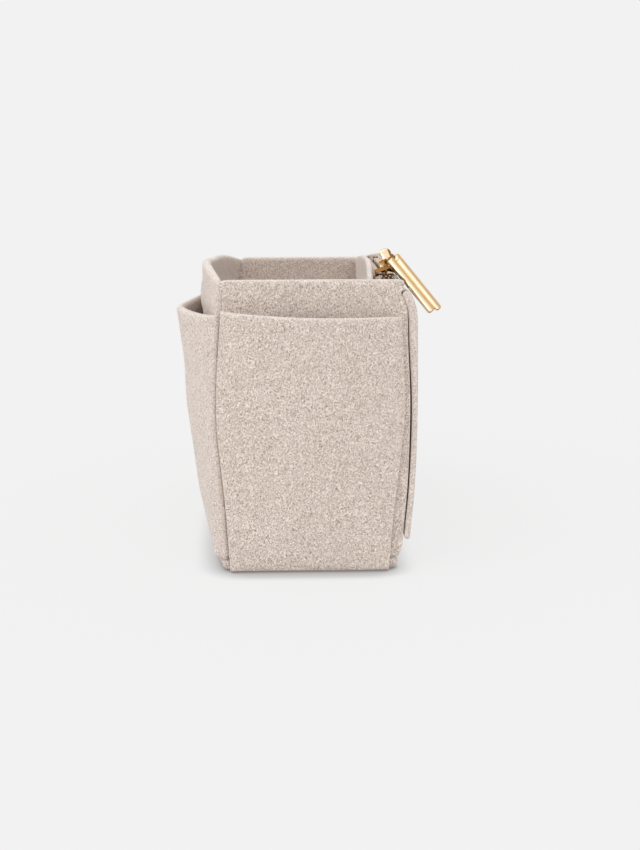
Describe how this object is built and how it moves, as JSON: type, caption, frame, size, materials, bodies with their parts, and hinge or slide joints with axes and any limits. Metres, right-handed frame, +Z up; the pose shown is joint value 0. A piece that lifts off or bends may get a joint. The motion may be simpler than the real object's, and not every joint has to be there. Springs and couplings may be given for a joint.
{
  "type": "purse organizer insert",
  "caption": "Felt purse organizer insert: open tray with slip pockets outside, a zipped pocket along one side and a metal zip pull.",
  "frame": {"origin": "centre of the base's underside between the end walls", "axes": "+Z up, +Y along the tray away from the near end, +X towards the zipped pocket"},
  "size_m": [0.1007, 0.189, 0.1224],
  "materials": {
    "felt": "matte needled felt with a fine light and dark fibre speckle",
    "zip_tape": "plain woven tape",
    "zip_teeth": "satin",
    "zip_gold": "polished"
  },
  "bodies": {
    "root": {"base_panel": "felt", "left_wall": "felt", "left_pocket": "felt", "right_wall": "felt", "zip_pocket_panel": "felt", "near_end_wall": "felt", "near_gusset": "felt", "near_end_pocket": "felt", "far_end_wall": "felt", "far_gusset": "felt", "far_end_pocket": "felt", "zip_tape_inner": "zip_tape", "zip_tape_outer": "zip_tape", "zip_teeth_inner": "zip_teeth", "zip_teeth_outer": "zip_teeth", "top_stop_inner": "zip_gold", "top_stop_outer": "zip_gold", "bottom_stop": "zip_gold"},
    "slider": {"zip_slider": "zip_gold"},
    "pull": {"zip_pull": "zip_gold"}
  },
  "joints": [
    {"name": "zip_slide", "type": "slide", "parent": "root", "child": "slider", "axis": [0.0366, 0.9993, 0], "range_m": [0, 0.1335]},
    {"name": "pull_swing", "type": "hinge", "parent": "slider", "child": "pull", "pos_m": [0.02868, -0.08067, 0.1205], "axis": [-0.0366, -0.9993, 0], "range_deg": [0, 210]}
  ]
}
